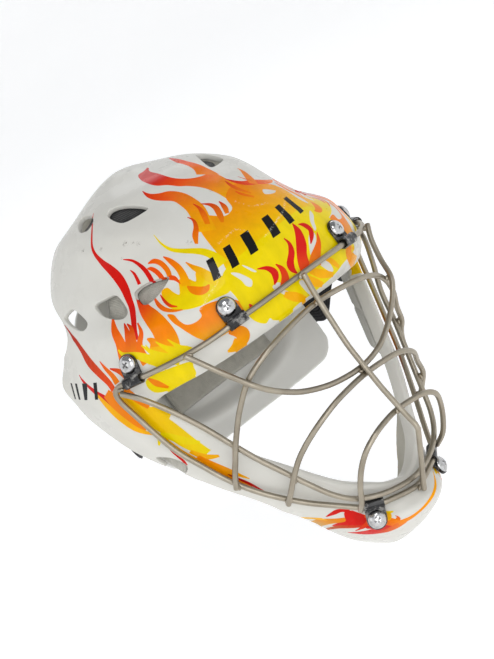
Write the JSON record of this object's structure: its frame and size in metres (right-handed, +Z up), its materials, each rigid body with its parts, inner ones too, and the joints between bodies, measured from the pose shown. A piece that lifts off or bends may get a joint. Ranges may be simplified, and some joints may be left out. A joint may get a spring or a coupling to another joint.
{
  "type": "goalie mask",
  "caption": "Ice hockey goalie mask: moulded shell with flame graphics, welded wire cage held by screwed clips, foam pads and a sprung backplate on elastic straps",
  "frame": {"origin": "on the mid-plane at the height of the wearer's eyes, midway between the cage and the back of the shell", "axes": "+X towards the wearer's left, -Y the way the wearer faces, +Z up with the mask worn level"},
  "size_m": [0.2144, 0.2157, 0.2714],
  "materials": {
    "shell": "gloss white with printed flames",
    "plate": "satin white",
    "cage": "satin plated wire",
    "clip": "gloss black",
    "screw": "bright zinc",
    "snap": "bright nickel",
    "elastic": "ribbed black elastic",
    "foam": "grey foam with a fine cloth face",
    "dark_foam": "black foam"
  },
  "bodies": {
    "mask": {"centre_bar_wire": "cage", "cheek_pad_left": "foam", "cheek_pad_right": "foam", "clip_brow_left": "clip", "clip_brow_right": "clip", "clip_chin_left": "clip", "clip_chin_right": "clip", "clip_temple_left": "clip", "clip_temple_right": "clip", "crown_pad": "dark_foam", "eye_wire": "cage", "face_loop_wire": "cage", "forehead_pad": "foam", "lower_arch_wire": "cage", "middle_arch_wire": "cage", "nut_brow_left": "screw", "nut_brow_right": "screw", "nut_chin_left": "screw", "nut_chin_right": "screw", "nut_temple_left": "screw", "nut_temple_right": "screw", "perimeter_wire": "cage", "screw_brow_left": "screw", "screw_brow_right": "screw", "screw_chin_left": "screw", "screw_chin_right": "screw", "screw_temple_left": "screw", "screw_temple_right": "screw", "shell": "shell", "shell_snap_lower_left": "snap", "shell_snap_lower_right": "snap", "shell_snap_top": "snap", "shell_snap_upper_left": "snap", "shell_snap_upper_right": "snap", "strap_lower_left": "elastic", "strap_lower_right": "elastic", "strap_top": "elastic", "strap_upper_left": "elastic", "strap_upper_right": "elastic", "temple_pad_left": "foam", "temple_pad_right": "foam", "upper_arch_wire": "cage"},
    "backplate": {"backplate": "plate", "backplate_pad": "foam", "plate_snap_lower_left": "snap", "plate_snap_lower_right": "snap", "plate_snap_top": "snap", "plate_snap_upper_left": "snap", "plate_snap_upper_right": "snap"}
  },
  "joints": [
    {"name": "backplate_swing", "type": "hinge", "parent": "mask", "child": "backplate", "pos_m": [0, 0.08, 0.073], "axis": [1, 0, 0], "range_deg": [0, 35], "stiffness_Nm_per_rad": 1, "springref_deg": -17.19, "deforming": ["strap_lower_left", "strap_lower_right", "strap_top", "strap_upper_left", "strap_upper_right"]}
  ]
}
